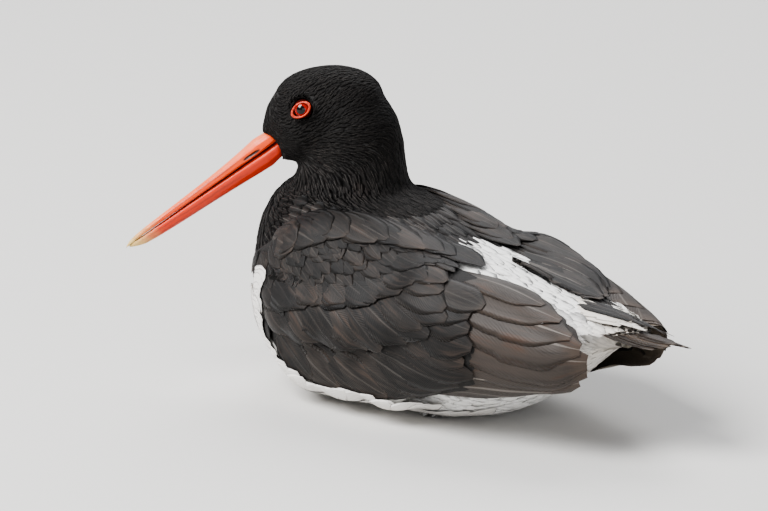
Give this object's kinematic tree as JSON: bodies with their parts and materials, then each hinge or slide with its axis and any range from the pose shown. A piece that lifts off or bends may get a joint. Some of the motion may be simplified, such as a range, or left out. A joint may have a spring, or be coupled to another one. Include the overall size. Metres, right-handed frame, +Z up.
{
  "type": "oystercatcher",
  "caption": "Life-size still model of a pied oystercatcher resting on its belly, head turned to its left, with folded feathered wings, a long straight bill and tucked legs.",
  "frame": {"origin": "the middle of the flat under the belly, at floor level", "axes": "+Z up, the bird faces -X, and its left side is -Y"},
  "size_m": [0.2665, 0.1245, 0.1444],
  "materials": {
    "plumage": "short black body feathers, white on rump, flank and belly",
    "wing_plumage": "worn dark grey-brown feathers with paler edges and shafts",
    "tail_plumage": "white at the base with a black-brown end band",
    "bill": "satin orange-red horn with a pale horn-coloured tip",
    "eye": "wet red iris with a black pupil",
    "eye_ring": "bare orange-red skin",
    "leg_skin": "dull pink scaled skin"
  },
  "bodies": {
    "root": {"torso": "plumage", "neck": "plumage", "head": "plumage", "tail": "tail_plumage", "wing_left": "wing_plumage", "wing_right": "wing_plumage", "bill_upper": "bill", "bill_lower": "bill", "eye_left": "eye", "eye_right": "eye", "eye_ring_left": "eye_ring", "eye_ring_right": "eye_ring", "leg_left": "leg_skin", "leg_right": "leg_skin"}
  },
  "joints": []
}
